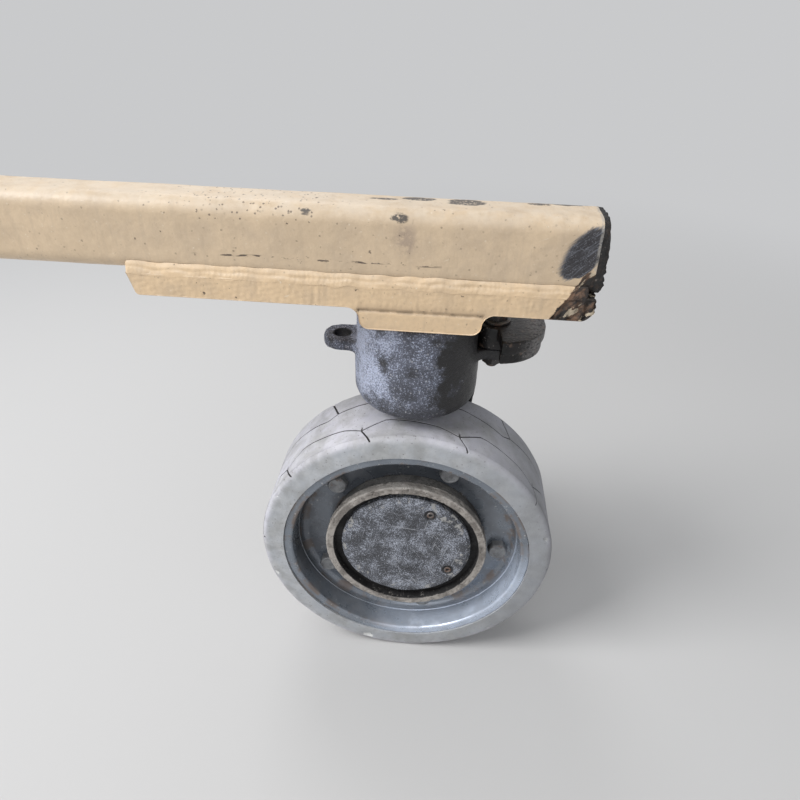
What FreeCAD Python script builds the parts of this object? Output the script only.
import FreeCAD, Part
import math
import os
from FreeCAD import Placement, Rotation, Vector

# Steered drive wheel of a scissor lift with the end of the chassis side rail that carries it.
# Frame: X along the rail towards the machine's front, Y inboard, Z up.
# The origin lies on the rail's inboard face, at its middle height and above the kingpin.

os.makedirs("parts", exist_ok=True)
doc = FreeCAD.newDocument("wheel_station")

# Driving sizes, in millimetres and degrees
SIZES = [
    ("rail_depth", 51), ("rail_height", 65), ("rail_wall", 5), ("rail_corner", 13),
    ("rail_left", 400), ("rail_right", 145), ("end_cap_thick", 10),
    ("plate_thick", 21), ("plate_proud", 3), ("plate_left", 252), ("plate_right", 150),
    ("plate_slant", 6), ("plate_foot_round", 4), ("plate_corner", 11), ("plate_end_width", 44),
    ("plate_eye_wall", 41), ("boss_drop", 20), ("boss_left", 50), ("boss_right", 57), ("boss_round", 9),
    ("weld_leg", 10), ("weld_crown", 1.5), ("weld_end_gap", 2), ("weld_step", 1), ("inner_weld_leg", 6),
    ("inner_weld_break", 28),
    ("kingpin_inboard", 18), ("kingpin_radius", 15), ("kingpin_chamfer", 2), ("bush_wall", 4),
    ("bush_flange_wall", 15),
    ("bush_flange_thick", 5), ("fit_gap", 0.05), ("seat_gap", 0.3),
    ("washer_radius", 18.5), ("washer_thick", 5), ("kingpin_bolt_flats", 24), ("kingpin_bolt_head", 10),
    ("kingpin_bolt_radius", 8), ("kingpin_bolt_depth", 30),
    ("barrel_radius", 63), ("barrel_height", 103.5), ("barrel_round", 19), ("barrel_rim_round", 2.5),
    ("pin_floor", 22), ("lug_overhang", 13), ("lug_radius", 19), ("lug_thick", 12), ("lug_below_top", 36.5),
    ("lug_hole", 8.5), ("lug_root_gap", 3), ("lug_root_round", 8), ("lug_flare_turn", 35), ("lug_flare_sink", 6),
    ("wheel_outboard", 2), ("wheel_below_barrel", 10), ("tyre_radius", 161.5), ("tyre_width", 100),
    ("tyre_round", 7), ("tyre_thick", 24.5), ("rim_inset", 1.5), ("rim_band", 8.5), ("lip_width", 10),
    ("lip_round", 2.5),
    ("rim_edge", 1), ("dish_taper", 2.5), ("disc_front", 15), ("disc_thick", 11), ("dish_round", 7),
    ("hub_ring_ratio", 0.7142), ("hub_ring_wall", 9.2), ("hub_ring_front", 41),
    ("hub_ring_inner_round", 1), ("hub_ring_outer_round", 1.5), ("hub_step", 4.7),
    ("hub_front", 31), ("hub_round", 2), ("hub_drum_round", 3), ("hub_flange_thick", 12),
    ("hub_flange_edge", 13), ("hub_drum_gap", 5), ("hub_rear", 50),
    ("cap_groove", 8.5), ("cap_front", 39), ("cap_edge", 3),
    ("wheel_bolt_from_hub", 20), ("wheel_bolt_radius", 7), ("wheel_bolt_flats", 20),
    ("wheel_bolt_head", 9), ("wheel_bolt_count", 5), ("wheel_bolt_first", -6), ("bolt_hole_gap", 0.5),
    ("cap_screw_radius", 4), ("cap_screw_inset", 15), ("cap_screw_seat", 3), ("cap_screw_proud", 1.5),
    ("cap_screw_upper_angle", 64), ("cap_screw_lower_angle", -31.5),
    ("spindle_ratio", 0.4651), ("spindle_front", 11), ("spindle_chamfer", 2),
    ("leg_gap", 7), ("leg_behind_barrel", 2), ("leg_top_half", 38), ("leg_shoulder", 57), ("leg_overhang", 3),
    ("leg_waist", 58), ("leg_round", 14), ("leg_recess", 11), ("leg_rib", 10), ("leg_edge", 10),
    ("recess_round", 8), ("recess_rise", 24),
    ("motor_bolt_from_spindle", 33), ("motor_bolt_edge", 9), ("motor_flange_edge", 6), ("motor_flange_thick", 12),
    ("motor_flange_round", 2), ("motor_body_round", 3), ("port_block_round", 4),
    ("motor_length", 96), ("motor_step", 6), ("motor_cover", 22), ("motor_cover_round", 6), ("motor_head_gap", 5),
    ("port_from_flange", 44), ("port_block", 34), ("port_spacing", 26), ("port_radius", 8), ("port_wall", 5),
    ("port_rise", 9), ("port_depth", 14),
    ("motor_bolt_radius", 5), ("motor_bolt_flats", 16), ("motor_bolt_head", 7), ("motor_bolt_count", 8),
    ("motor_bolt_depth", 18),
    ("eye_radius", 20), ("eye_clearance", 6), ("eye_height", 23.5), ("strap_thick", 12), ("skirt_outer", 46),
    ("skirt_wall", 9), ("skirt_drop", 24), ("skirt_from", -86), ("skirt_to", 60), ("strap_proud", 2),
    ("arm_offset", 18), ("arm_reach", 92), ("arm_boss", 17), ("arm_boss_length", 44),
    ("thread_radius", 9), ("thread_depth", 38),
    ("link_bolt_radius", 6), ("link_bolt_flats", 19), ("link_bolt_head", 7.5), ("link_washer_radius", 14),
    ("link_washer_thick", 2), ("link_nut_thick", 10), ("link_thread_round", 1), ("link_thread_rest", 4),
    ("cut_past", 1),
]
sheet = doc.addObject("Spreadsheet::Sheet", "Sheet")
for row, (name, value) in enumerate(SIZES, start=1):
    sheet.set(f"A{row}", name)
    sheet.set(f"B{row}", str(value))
    sheet.setAlias(f"B{row}", name)
doc.recompute()
S = {name: float(sheet.get(name)) for name, value in SIZES}


# Places that several pieces share
RAIL_TOP = S["rail_height"] / 2
PLATE_TOP = -RAIL_TOP
PLATE_BOTTOM = PLATE_TOP - S["plate_thick"]
BOSS_BOTTOM = PLATE_BOTTOM - S["boss_drop"]
FRONT = -S["rail_depth"] - S["plate_proud"]
KING_Y = S["kingpin_inboard"]
BUSH_RADIUS = S["kingpin_radius"] + S["bush_wall"]
EYE_PLATE = BUSH_RADIUS + S["plate_eye_wall"]
BARREL_TOP = BOSS_BOTTOM - S["bush_flange_thick"]
BARREL_BOTTOM = BARREL_TOP - S["barrel_height"]
LUG_REACH = S["barrel_radius"] + S["lug_overhang"]
LUG_TOP = BARREL_TOP - S["lug_below_top"]
LUG_BOTTOM = LUG_TOP - S["lug_thick"]
PIN_BOTTOM = BARREL_BOTTOM + S["pin_floor"]
WHEEL_Y = -S["wheel_outboard"]
WHEEL_Z = BARREL_BOTTOM - S["wheel_below_barrel"] - S["tyre_radius"]
RIM_RADIUS = S["tyre_radius"] - S["tyre_thick"]
LIP_RADIUS = RIM_RADIUS - S["lip_width"]
RING_OUTER = LIP_RADIUS * S["hub_ring_ratio"]
RING_INNER = RING_OUTER - S["hub_ring_wall"]
CAP_RADIUS = RING_INNER - S["cap_groove"]
HUB_BARREL = RING_OUTER - S["hub_step"]
SPINDLE_RADIUS = HUB_BARREL * S["spindle_ratio"]
WHEEL_BOLTS = HUB_BARREL + S["wheel_bolt_from_hub"]
LEG_FACE = WHEEL_Y + S["hub_rear"] + S["leg_gap"]
LEG_BACK = KING_Y + S["barrel_radius"] + S["leg_behind_barrel"]
LEG_THICK = LEG_BACK - LEG_FACE
MOTOR_BOLTS = SPINDLE_RADIUS + S["motor_bolt_from_spindle"]
MOTOR_FLANGE = MOTOR_BOLTS + S["motor_bolt_edge"]
MOTOR_RADIUS = MOTOR_BOLTS - S["motor_bolt_flats"] / 2 - S["motor_head_gap"]
FLANGE_RADIUS = MOTOR_FLANGE + S["motor_flange_edge"]
EYE_BOTTOM = LUG_TOP + S["seat_gap"]
EYE_TOP = EYE_BOTTOM + S["eye_height"]
PAST = S["cut_past"]


def rounded(points):
    """Lines and arcs through corner points (x, y, radius), with each corner rounded by its radius."""
    count = len(points)
    ends = []
    for i, (x, y, radius) in enumerate(points):
        corner = Vector(x, y, 0)
        before = Vector(*points[i - 1][:2], 0) - corner
        after = Vector(*points[(i + 1) % count][:2], 0) - corner
        if radius <= 0:
            ends.append((corner, None, corner))
            continue
        half = before.getAngle(after) / 2
        reach = radius / math.tan(half)
        before.normalize()
        after.normalize()
        middle = (before + after).normalize()
        centre = corner + middle * (radius / math.sin(half))
        ends.append((corner + before * reach, centre - middle * radius, corner + after * reach))
    shapes = []
    for i, (start, mid, end) in enumerate(ends):
        if mid is not None:
            shapes.append(Part.Arc(start, mid, end))
        follow = ends[(i + 1) % count][0]
        if (follow - end).Length > 1e-6:
            shapes.append(Part.LineSegment(end, follow))
    return shapes


def circle(x, y, radius):
    return [Part.Circle(Vector(x, y, 0), Vector(0, 0, 1), radius)]


def polygon(x, y, flats, sides=6, turn=0.0):
    """A regular polygon of a given width across its flats."""
    reach = flats / 2 / math.cos(math.pi / sides)
    angles = [turn + 2 * math.pi * k / sides for k in range(sides)]
    return rounded([(x + reach * math.cos(a), y + reach * math.sin(a), 0) for a in angles])


def new_body(name, x=None, y=None, z=0.0):
    """A body named after its file. It moves in x and y by names of the sheet and in z to a worked-out height."""
    body = doc.addObject("PartDesign::Body", name)
    body.Label = name
    body.Placement.Base.z = z
    if x:
        body.setExpression("Placement.Base.x", x)
    if y:
        body.setExpression("Placement.Base.y", y)
    return body


def wheel_body(name):
    """A body centred on the wheel's middle."""
    return new_body(name, y="-Sheet.wheel_outboard", z=WHEEL_Z)


def sketch(body, plane, shapes, shift=0.0, name="Profile"):
    """A sketch on one of the body's own planes, shifted along that plane's normal."""
    made = body.newObject("Sketcher::SketchObject", f"{body.Name}_{name}")
    base = [item for item in body.Origin.OriginFeatures if item.Role == f"{plane}_Plane"][0]
    made.AttachmentSupport = (base, [""])
    made.MapMode = "FlatFace"
    made.AttachmentOffset = Placement(Vector(0, 0, shift), Rotation())
    made.addGeometry(shapes, False)
    return made


def pad(body, plane, shapes, length, shift=0.0, name="Pad"):
    made = sketch(body, plane, shapes, shift, name + "_sketch")
    feature = body.newObject("PartDesign::Pad", f"{body.Name}_{name}")
    feature.Profile = made
    set_size(feature, "Length", length)
    body.Tip = feature
    return feature


def pocket(body, plane, shapes, length, shift=0.0, name="Pocket"):
    made = sketch(body, plane, shapes, shift, name + "_sketch")
    feature = body.newObject("PartDesign::Pocket", f"{body.Name}_{name}")
    feature.Profile = made
    set_size(feature, "Length", length)
    body.Tip = feature
    doc.recompute()
    if feature.Shape.Volume >= feature.BaseFeature.Shape.Volume - 1e-6:
        raise ValueError(f"{feature.Name} removes nothing")
    return feature


def revolve(body, shapes, axis="H_Axis", plane="YZ", name="Turned"):
    made = sketch(body, plane, shapes, 0.0, name + "_sketch")
    feature = body.newObject("PartDesign::Revolution", f"{body.Name}_{name}")
    feature.Profile = made
    feature.ReferenceAxis = (made, [axis])
    feature.Angle = 360
    body.Tip = feature
    return feature


def set_size(feature, field, value):
    """Binds a field to the sheet by an expression, or sets a worked-out number."""
    if isinstance(value, str):
        feature.setExpression(field, value)
    else:
        setattr(feature, field, value)


# Side rail: a rectangular tube with large outer corners, open where it was cut from the chassis
rail = new_body("side_rail")
depth, height, wall = S["rail_depth"], S["rail_height"], S["rail_wall"]
outer, inner = S["rail_corner"], S["rail_corner"] - S["rail_wall"]
tube = [(-depth, -height / 2, outer), (0, -height / 2, outer), (0, height / 2, outer), (-depth, height / 2, outer)]
bore = [(-depth + wall, -height / 2 + wall, inner), (-wall, -height / 2 + wall, inner),
        (-wall, height / 2 - wall, inner), (-depth + wall, height / 2 - wall, inner)]
pad(rail, "YZ", rounded(tube) + rounded(bore), "Sheet.rail_left + Sheet.rail_right", -S["rail_left"], "Tube")

# End cap: the plate that closes the tube at the machine's front corner
cap = new_body("rail_end_cap")
pad(cap, "YZ", rounded(tube), "Sheet.end_cap_thick", S["rail_right"], "Plate")

# Kingpin plate: thick flame-cut plate under the rail, with the thrust boss below it
plate = new_body("kingpin_plate")
boss_root = S["boss_drop"] - S["boss_round"]
front = [(-S["plate_left"], PLATE_TOP, 0), (-S["plate_left"] + S["plate_slant"], PLATE_BOTTOM, S["plate_foot_round"]),
         (-S["boss_left"], PLATE_BOTTOM, boss_root), (-S["boss_left"], BOSS_BOTTOM, S["boss_round"]),
         (S["boss_right"], BOSS_BOTTOM, S["boss_round"]), (S["boss_right"], PLATE_BOTTOM, boss_root)]
front += [(S["plate_right"], PLATE_BOTTOM, S["plate_corner"]), (S["plate_right"], PLATE_TOP, 0)]
back = KING_Y + EYE_PLATE
pad(plate, "XZ", rounded(front), back - FRONT, -back, "Front")


def tangent(point, centre, radius, side):
    """The angle on a circle where a line from the point touches it."""
    away = point - centre
    return math.atan2(away.y, away.x) + side * math.acos(radius / away.Length)


# The flame-cut plan: a strip under the rail that widens inboard to a round eye over the kingpin
eye = Vector(0, KING_Y, 0)
end_inboard = FRONT + S["plate_end_width"]
plan_right, plan_left = Vector(S["plate_right"], end_inboard, 0), Vector(-S["plate_left"], end_inboard, 0)
eye_start = tangent(plan_right, eye, EYE_PLATE, 1)
eye_end = tangent(plan_left, eye, EYE_PLATE, -1) % (2 * math.pi)
eye_right, eye_middle, eye_left = [eye + Vector(math.cos(a), math.sin(a), 0) * EYE_PLATE
                                   for a in (eye_start, (eye_start + eye_end) / 2, eye_end)]
front_left, front_right = Vector(-S["plate_left"], FRONT, 0), Vector(S["plate_right"], FRONT, 0)
plan = [Part.LineSegment(front_left, front_right), Part.LineSegment(front_right, plan_right),
        Part.LineSegment(plan_right, eye_right), Part.Arc(eye_right, eye_middle, eye_left),
        Part.LineSegment(eye_left, plan_left), Part.LineSegment(plan_left, front_left)]
far = 2 * S["plate_left"]
outside = rounded([(-far, -far, 0), (far, -far, 0), (far, far, 0), (-far, far, 0)])
plate_cut = PLATE_TOP - BOSS_BOTTOM + 2 * PAST
pocket(plate, "XY", outside + plan, plate_cut, PLATE_TOP + PAST, "Plan")
pocket(plate, "XY", circle(0, KING_Y, BUSH_RADIUS), plate_cut, PLATE_TOP + PAST, "Bore")

# Weld beads: they fill the grooves between the rail's round lower corners and the plate's top
weld = new_body("plate_weld")
weld.AllowCompound = True


def bead(corner, side, toe_y, leg):
    """A bead's section: up the rail's round corner by its leg, along the plate to its toe, closed by a crown.
    side is -1 at the outboard corner and 1 at the inboard one."""
    rise = math.asin((outer - leg) / outer)
    upper, half_way, lower = [corner + Vector(side * math.cos(a), -math.sin(a), 0) * outer
                              for a in (rise, (rise + math.pi / 2) / 2, math.pi / 2)]
    toe = Vector(toe_y, PLATE_TOP, 0)
    bulge = Vector(side, 0.5, 0) * S["weld_crown"]
    return [Part.Arc(upper, half_way, lower), Part.LineSegment(lower, toe),
            Part.Arc(toe, (toe + upper) / 2 + bulge, upper)]


def plan_meets(end, eye_point, y):
    """The x at which the plan's slanted edge reaches a y."""
    return end.x + (eye_point.x - end.x) * (y - end.y) / (eye_point.y - end.y)


outboard = bead(Vector(-depth + outer, PLATE_TOP + outer, 0), -1, FRONT + S["weld_step"], S["weld_leg"])
weld_left, weld_right = S["plate_left"] - S["weld_end_gap"], min(S["plate_right"], S["rail_right"]) - S["weld_end_gap"]
pad(weld, "YZ", outboard, weld_left + weld_right, -weld_left, "Outboard")
inboard = bead(Vector(-outer, PLATE_TOP + outer, 0), 1, S["inner_weld_leg"], S["inner_weld_leg"])
toe_left = plan_meets(plan_left, eye_left, S["inner_weld_leg"]) + S["weld_end_gap"]
toe_right = plan_meets(plan_right, eye_right, S["inner_weld_leg"]) - S["weld_end_gap"]
pad(weld, "YZ", inboard, -S["inner_weld_break"] - toe_left, toe_left, "Inboard_left")
pad(weld, "YZ", inboard, toe_right - S["inner_weld_break"], S["inner_weld_break"], "Inboard_right")

# Kingpin bush: bronze sleeve in the plate and boss, with a thrust flange under the boss
bush = new_body("kingpin_bush", y="Sheet.kingpin_inboard")
inside = S["kingpin_radius"] + S["fit_gap"]
flange_bottom = BARREL_TOP + S["seat_gap"]
flange_round = BUSH_RADIUS + S["bush_flange_wall"]
revolve(bush, rounded([(inside, PLATE_TOP, 0), (inside, flange_bottom, 0), (flange_round, flange_bottom, 0),
                       (flange_round, BOSS_BOTTOM, 0), (BUSH_RADIUS, BOSS_BOTTOM, 0),
                       (BUSH_RADIUS, PLATE_TOP, 0)]), "V_Axis", "XZ")

# Kingpin: pressed into the casting's barrel, it turns in the bush above
kingpin = new_body("kingpin", y="Sheet.kingpin_inboard")
pin_top = PLATE_TOP + S["seat_gap"]
revolve(kingpin, rounded([(0, PIN_BOTTOM, 0), (S["kingpin_radius"] - S["kingpin_chamfer"], PIN_BOTTOM, 0),
                          (S["kingpin_radius"], PIN_BOTTOM + S["kingpin_chamfer"], 0), (S["kingpin_radius"], pin_top, 0),
                          (0, pin_top, 0)]), "V_Axis", "XZ")
pocket(kingpin, "XY", circle(0, 0, S["kingpin_bolt_radius"]), "Sheet.kingpin_bolt_depth", pin_top, "Tapping")

washer = new_body("kingpin_washer", y="Sheet.kingpin_inboard")
pad(washer, "XY", circle(0, 0, S["washer_radius"]) + circle(0, 0, S["kingpin_bolt_radius"] + S["bolt_hole_gap"]),
    "Sheet.washer_thick", pin_top, "Disc")

bolt = new_body("kingpin_bolt", y="Sheet.kingpin_inboard")
under_head = pin_top + S["washer_thick"]
pad(bolt, "XY", polygon(0, 0, S["kingpin_bolt_flats"]), "Sheet.kingpin_bolt_head", under_head, "Head")
pad(bolt, "XY", circle(0, 0, S["kingpin_bolt_radius"]), S["washer_thick"] + S["kingpin_bolt_depth"] + PAST,
    pin_top - S["kingpin_bolt_depth"], "Shank")

# Knuckle casting: barrel, two steering lugs, and the leg that carries the wheel's drive
knuckle = new_body("knuckle_casting", y="Sheet.kingpin_inboard")
radius = S["barrel_radius"]
revolve(knuckle, rounded([(0, BARREL_BOTTOM, 0), (radius, BARREL_BOTTOM, S["barrel_round"]),
                          (radius, BARREL_TOP, S["barrel_rim_round"]), (0, BARREL_TOP, 0)]), "V_Axis", "XZ", "Barrel")
reach, nose = LUG_REACH, S["lug_radius"]
root = radius + S["lug_root_gap"]
flare = math.radians(S["lug_flare_turn"])
flare_x, flare_y = [(radius - S["lug_flare_sink"]) * part for part in (math.cos(flare), math.sin(flare))]
quarter = [(flare_x, flare_y, 0), (root, nose, S["lug_root_round"]), (reach + nose, nose, nose)]
right_lug = [(x, -y, r) for x, y, r in quarter] + quarter[::-1]
left_lug = [(-x, -y, r) for x, y, r in right_lug]
pad(knuckle, "XY", rounded(right_lug + left_lug), "Sheet.lug_thick", LUG_BOTTOM, "Lugs")
leg_back = LEG_BACK - KING_Y
shoulder = BARREL_TOP - S["leg_shoulder"]
turn = S["leg_round"]
leg_half = radius + S["leg_overhang"]
right_side = [(S["leg_waist"], WHEEL_Z, 0), (S["leg_waist"], WHEEL_Z + FLANGE_RADIUS, turn),
              (leg_half, BARREL_BOTTOM - turn, turn), (leg_half, shoulder, turn),
              (S["leg_top_half"], shoulder, turn / 2), (S["leg_top_half"], BARREL_TOP - turn, turn)]
left_side = [(-x, z, r) for x, z, r in reversed(right_side)]
pad(knuckle, "XZ", rounded(right_side + left_side), LEG_THICK, -leg_back, "Leg")
pad(knuckle, "XZ", circle(0, WHEEL_Z, FLANGE_RADIUS), LEG_THICK, -leg_back, "Flange")
rib_half, rim_width, corner_round = S["leg_rib"] / 2, S["leg_edge"], S["recess_round"]
recess_low, recess_high = WHEEL_Z + FLANGE_RADIUS + rim_width, BARREL_BOTTOM + S["recess_rise"]
recess = [(rib_half, recess_low, corner_round), (S["leg_waist"] - rim_width, recess_low, corner_round),
          (leg_half - rim_width, BARREL_BOTTOM - turn, turn), (leg_half - rim_width, recess_high, corner_round),
          (rib_half, recess_high, corner_round)]
mirrored = [(-x, z, r) for x, z, r in reversed(recess)]
pocket(knuckle, "XZ", rounded(recess) + rounded(mirrored), S["leg_recess"] + PAST, S["leg_recess"] - leg_back, "Recess")
pocket(knuckle, "XY", circle(0, 0, S["kingpin_radius"]), BARREL_TOP + PAST - PIN_BOTTOM, BARREL_TOP + PAST, "Pin_bore")
scallop = S["eye_radius"] + S["eye_clearance"]
pocket(knuckle, "XY", circle(reach, 0, scallop) + circle(-reach, 0, scallop),
       BARREL_TOP + PAST - LUG_TOP, BARREL_TOP + PAST, "Scallops")
pocket(knuckle, "XY", circle(reach, 0, S["lug_hole"]) + circle(-reach, 0, S["lug_hole"]),
       S["lug_thick"] + 2 * PAST, LUG_TOP + PAST, "Lug_holes")
pocket(knuckle, "XZ", circle(0, WHEEL_Z, SPINDLE_RADIUS), LEG_THICK + 2 * PAST, PAST - LEG_FACE + KING_Y,
       "Spindle_bore")


def round_circle(turns, distance, size, height=0.0):
    """Circles of one size, spaced round a bolt circle at the angles given in degrees."""
    shapes = []
    for degrees in turns:
        angle = math.radians(degrees)
        shapes += circle(distance * math.cos(angle), height + distance * math.sin(angle), size)
    return shapes


motor_turns = [360 * (k + 0.5) / S["motor_bolt_count"] for k in range(int(S["motor_bolt_count"]))]
pocket(knuckle, "XZ", round_circle(motor_turns, MOTOR_BOLTS, S["motor_bolt_radius"], WHEEL_Z),
       S["motor_bolt_depth"] + PAST, S["motor_bolt_depth"] - leg_back, "Motor_holes")

# Wheel spindle: fixed in the casting, it carries the turning hub
spindle = wheel_body("wheel_spindle")
spindle_back = LEG_BACK - WHEEL_Y
bevel = S["spindle_chamfer"]
revolve(spindle, rounded([(-S["spindle_front"], 0, 0), (-S["spindle_front"], SPINDLE_RADIUS - bevel, 0),
                          (bevel - S["spindle_front"], SPINDLE_RADIUS, 0), (spindle_back, SPINDLE_RADIUS, 0),
                          (spindle_back, 0, 0)]))

# Drive motor: flanged to the casting's inboard side
motor = wheel_body("drive_motor")
flange_end = spindle_back + S["motor_flange_thick"]
motor_end = spindle_back + S["motor_length"]
body_round = S["motor_body_round"]
revolve(motor, rounded([(spindle_back, 0, 0), (spindle_back, MOTOR_FLANGE, 0),
                        (flange_end, MOTOR_FLANGE, S["motor_flange_round"]),
                        (flange_end, MOTOR_RADIUS, body_round), (motor_end, MOTOR_RADIUS, body_round),
                        (motor_end, MOTOR_RADIUS - S["motor_step"], 0),
                        (motor_end + S["motor_cover"], MOTOR_RADIUS - S["motor_step"], S["motor_cover_round"]),
                        (motor_end + S["motor_cover"], 0, 0)]))
pocket(motor, "XZ", round_circle(motor_turns, MOTOR_BOLTS, S["motor_bolt_radius"] + S["bolt_hole_gap"]),
       S["motor_flange_thick"] + 2 * PAST, PAST - spindle_back, "Bolt_holes")
port_y = flange_end + S["port_from_flange"]
port_half = S["port_spacing"] / 2 + S["port_radius"] + S["port_wall"]
port_top = MOTOR_RADIUS + S["port_rise"]
block = rounded([(-port_half, 0, 0), (port_half, 0, 0), (port_half, port_top, S["port_block_round"]),
                 (-port_half, port_top, S["port_block_round"])])
pad(motor, "XZ", block, "Sheet.port_block", -port_y - S["port_block"] / 2, "Port_block")
ports = circle(-S["port_spacing"] / 2, port_y, S["port_radius"]) + circle(S["port_spacing"] / 2, port_y, S["port_radius"])
pocket(motor, "XY", ports, S["port_depth"] + PAST, port_top + PAST, "Ports")


def bolt_ring(name, turns, distance, flats, head, shank, length, face, outward):
    """Hexagon bolts round the wheel's axis: heads on a face, shanks through it."""
    ring = wheel_body(name)
    ring.AllowCompound = True
    heads, shanks = [], []
    for degrees in turns:
        angle = math.radians(degrees)
        x, z = distance * math.cos(angle), distance * math.sin(angle)
        heads += polygon(x, z, flats, turn=angle + math.pi / 6)
        shanks += circle(x, z, shank)
    head_far = face if outward < 0 else face + head
    shank_far = face + length if outward < 0 else face + PAST
    pad(ring, "XZ", heads, head, -head_far, "Heads")
    pad(ring, "XZ", shanks, length + PAST, -shank_far, "Shanks")
    return ring


bolt_ring("motor_bolts", motor_turns, MOTOR_BOLTS, S["motor_bolt_flats"], S["motor_bolt_head"],
          S["motor_bolt_radius"], S["motor_flange_thick"] + S["motor_bolt_depth"], flange_end, 1)

# Tyre: solid rubber bonded on the wheel's band
tyre = wheel_body("tyre")
half = S["tyre_width"] / 2
revolve(tyre, rounded([(-half, RIM_RADIUS, 0), (-half, S["tyre_radius"], S["tyre_round"]),
                       (half, S["tyre_radius"], S["tyre_round"]), (half, RIM_RADIUS, 0)]))

# Rim: band, lip, concave dish and bolting disc, turned in one profile
rim = wheel_body("wheel_rim")
rim_half = half - S["rim_inset"]
band_in = RIM_RADIUS - S["rim_band"]
hole = HUB_BARREL + S["bolt_hole_gap"]
disc_back = S["disc_thick"] - S["disc_front"]
revolve(rim, rounded([(-rim_half, RIM_RADIUS, S["rim_edge"]), (-rim_half, LIP_RADIUS, S["lip_round"]),
                      (-S["disc_front"], LIP_RADIUS - S["dish_taper"], S["dish_round"]),
                      (-S["disc_front"], hole, S["rim_edge"]), (disc_back, hole, S["rim_edge"]),
                      (disc_back, band_in, S["dish_round"]), (rim_half, band_in, S["rim_edge"]),
                      (rim_half, RIM_RADIUS, S["rim_edge"])]))
wheel_turns = [S["wheel_bolt_first"] + 360 * k / S["wheel_bolt_count"] for k in range(int(S["wheel_bolt_count"]))]
pocket(rim, "XZ", round_circle(wheel_turns, WHEEL_BOLTS, S["wheel_bolt_radius"] + S["bolt_hole_gap"]),
       S["disc_thick"] + 2 * PAST, S["disc_front"] + PAST, "Bolt_holes")

# Drive hub: turning gear case with the flange that the rim bolts to
hub = wheel_body("drive_hub")
hub_bore = SPINDLE_RADIUS + S["fit_gap"]
flange_rear = disc_back + S["hub_flange_thick"]
floor = -S["spindle_front"] - S["seat_gap"]
hub_flange = WHEEL_BOLTS + S["hub_flange_edge"]
hub_drum = WHEEL_BOLTS - S["wheel_bolt_radius"] - S["hub_drum_gap"]
revolve(hub, rounded([(-S["hub_front"], 0, 0), (-S["hub_front"], HUB_BARREL, S["hub_round"]), (disc_back, HUB_BARREL, 0),
                      (disc_back, hub_flange, 0), (flange_rear, hub_flange, S["hub_round"]),
                      (flange_rear, hub_drum, S["hub_drum_round"]), (S["hub_rear"], hub_drum, S["hub_drum_round"]),
                      (S["hub_rear"], hub_bore, 0),
                      (floor, hub_bore, 0), (floor, 0, 0)]))
pocket(hub, "XZ", round_circle(wheel_turns, WHEEL_BOLTS, S["wheel_bolt_radius"]),
       S["hub_flange_thick"] + 2 * PAST, PAST - disc_back, "Bolt_holes")

ring = wheel_body("hub_ring")
revolve(ring, rounded([(-S["hub_ring_front"], RING_INNER, S["hub_ring_inner_round"]),
                       (-S["hub_ring_front"], RING_OUTER, S["hub_ring_outer_round"]),
                       (-S["hub_front"], RING_OUTER, 0), (-S["hub_front"], RING_INNER, 0)]))

hub_cap = wheel_body("hub_cap")
edge = S["cap_edge"]
revolve(hub_cap, rounded([(-S["cap_front"], 0, 0), (-S["cap_front"], CAP_RADIUS - edge, 0),
                          (edge - S["cap_front"], CAP_RADIUS, 0), (-S["hub_front"], CAP_RADIUS, 0),
                          (-S["hub_front"], 0, 0)]))
screw_turns = [S["cap_screw_upper_angle"], S["cap_screw_lower_angle"]]
screw_circle = CAP_RADIUS - S["cap_screw_inset"]
screw_seat = S["cap_screw_seat"]
pocket(hub_cap, "XZ", round_circle(screw_turns, screw_circle, S["cap_screw_radius"]),
       screw_seat + PAST, S["cap_front"] + PAST, "Screw_seats")

screws = wheel_body("cap_screws")
screws.AllowCompound = True
pad(screws, "XZ", round_circle(screw_turns, screw_circle, S["cap_screw_radius"]),
    screw_seat + S["cap_screw_proud"], S["cap_front"] - screw_seat, "Heads")

bolt_ring("wheel_bolts", wheel_turns, WHEEL_BOLTS, S["wheel_bolt_flats"], S["wheel_bolt_head"],
          S["wheel_bolt_radius"], S["disc_thick"] + S["hub_flange_thick"], -S["disc_front"], -1)

# Tie rod end: an eye on the lug's pin, with a curved skirt round the lug's nose and an arm inboard
lug_x = "Sheet.barrel_radius + Sheet.lug_overhang"
link = new_body("tie_rod_end", x=lug_x, y="Sheet.kingpin_inboard")
first, last = math.radians(S["skirt_from"]), math.radians(S["skirt_to"])


def on_arc(radius, angle):
    return Vector(radius * math.cos(angle), radius * math.sin(angle), 0)


skirt_out, skirt_in = S["skirt_outer"], S["skirt_outer"] - S["skirt_wall"]
middle = (first + last) / 2
strap_out = skirt_out + S["strap_proud"]
sector = [Part.LineSegment(Vector(0, 0, 0), on_arc(strap_out, first)),
          Part.Arc(on_arc(strap_out, first), on_arc(strap_out, middle), on_arc(strap_out, last)),
          Part.LineSegment(on_arc(strap_out, last), Vector(0, 0, 0))]
wall_ring = [Part.LineSegment(on_arc(skirt_in, first), on_arc(skirt_out, first)),
             Part.Arc(on_arc(skirt_out, first), on_arc(skirt_out, middle), on_arc(skirt_out, last)),
             Part.LineSegment(on_arc(skirt_out, last), on_arc(skirt_in, last)),
             Part.Arc(on_arc(skirt_in, last), on_arc(skirt_in, middle), on_arc(skirt_in, first))]
pad(link, "XY", circle(0, 0, S["eye_radius"]), "Sheet.eye_height", EYE_BOTTOM, "Eye")
pad(link, "XY", sector, "Sheet.strap_thick", EYE_TOP - S["strap_thick"], "Strap")
pad(link, "XY", wall_ring, "Sheet.skirt_drop", EYE_TOP - S["skirt_drop"], "Skirt")
arm = rounded([(S["arm_offset"], 0, 0), (skirt_out, 0, 0), (skirt_out, S["arm_reach"], 0),
               (S["arm_offset"], S["arm_reach"], 0)])
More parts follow.
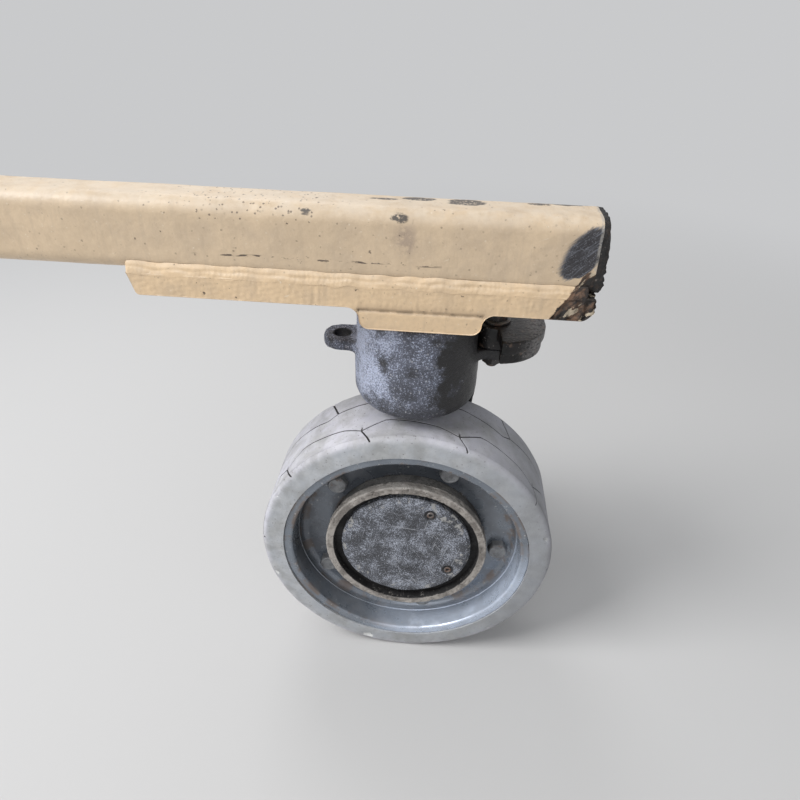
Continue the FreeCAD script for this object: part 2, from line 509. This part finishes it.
pad(link, "XY", arm, "Sheet.eye_height", EYE_BOTTOM, "Arm")
arm_x = (S["arm_offset"] + skirt_out) / 2
arm_z = (EYE_BOTTOM + EYE_TOP) / 2
boss_end = S["arm_reach"] + S["arm_boss_length"] / 2
pad(link, "XZ", circle(arm_x, arm_z, S["arm_boss"]), "Sheet.arm_boss_length", -boss_end, "Boss")
pocket(link, "XZ", circle(arm_x, arm_z, S["thread_radius"]), "Sheet.thread_depth", S["thread_depth"] - boss_end, "Thread")
pin_hole = S["lug_hole"] + S["fit_gap"]
pocket(link, "XY", circle(0, 0, pin_hole), S["eye_height"] + 2 * PAST, EYE_TOP + PAST, "Pin_hole")

# Link pin: shouldered bolt held in the lug, on which the tie rod end turns
link_pin = new_body("link_pin", x=lug_x, y="Sheet.kingpin_inboard")
washer_bottom = EYE_TOP + S["seat_gap"]
head_bottom = washer_bottom + S["link_washer_thick"]
thread_end = LUG_BOTTOM - S["link_nut_thick"] - S["link_thread_rest"]
revolve(link_pin, rounded([(0, thread_end, 0), (S["link_bolt_radius"], thread_end, S["link_thread_round"]),
                           (S["link_bolt_radius"], LUG_BOTTOM, 0), (S["lug_hole"], LUG_BOTTOM, 0),
                           (S["lug_hole"], washer_bottom, 0), (S["link_washer_radius"], washer_bottom, 0),
                           (S["link_washer_radius"], head_bottom, 0), (0, head_bottom, 0)]), "V_Axis", "XZ", "Shank")
pad(link_pin, "XY", polygon(0, 0, S["link_bolt_flats"], turn=0.4), "Sheet.link_bolt_head", head_bottom, "Head")

nut = new_body("link_nut", x=lug_x, y="Sheet.kingpin_inboard")
pad(nut, "XY", polygon(0, 0, S["link_bolt_flats"], turn=0.2) + circle(0, 0, S["link_bolt_radius"]),
    "Sheet.link_nut_thick", LUG_BOTTOM - S["link_nut_thick"], "Hexagon")

# Every object is sound before anything is written
doc.recompute()
bodies = [item for item in doc.Objects if item.TypeId == "PartDesign::Body"]
for item in doc.Objects:
    if "Invalid" in item.State or "Error" in item.State:
        raise ValueError(f"{item.Name}: {item.State}")
for body in bodies:
    if body.Shape.isNull() or not body.Shape.isValid():
        raise ValueError(f"{body.Label} has no valid shape")
for body in bodies:
    body.Shape.exportStep(f"parts/{body.Label}.step")
    box = body.Shape.BoundBox
    print(f"{body.Label}: {len(body.Shape.Solids)} solids, {body.Shape.Volume:.0f} mm3,"
          f" x {box.XMin:.1f} {box.XMax:.1f}, y {box.YMin:.1f} {box.YMax:.1f}, z {box.ZMin:.1f} {box.ZMax:.1f}")
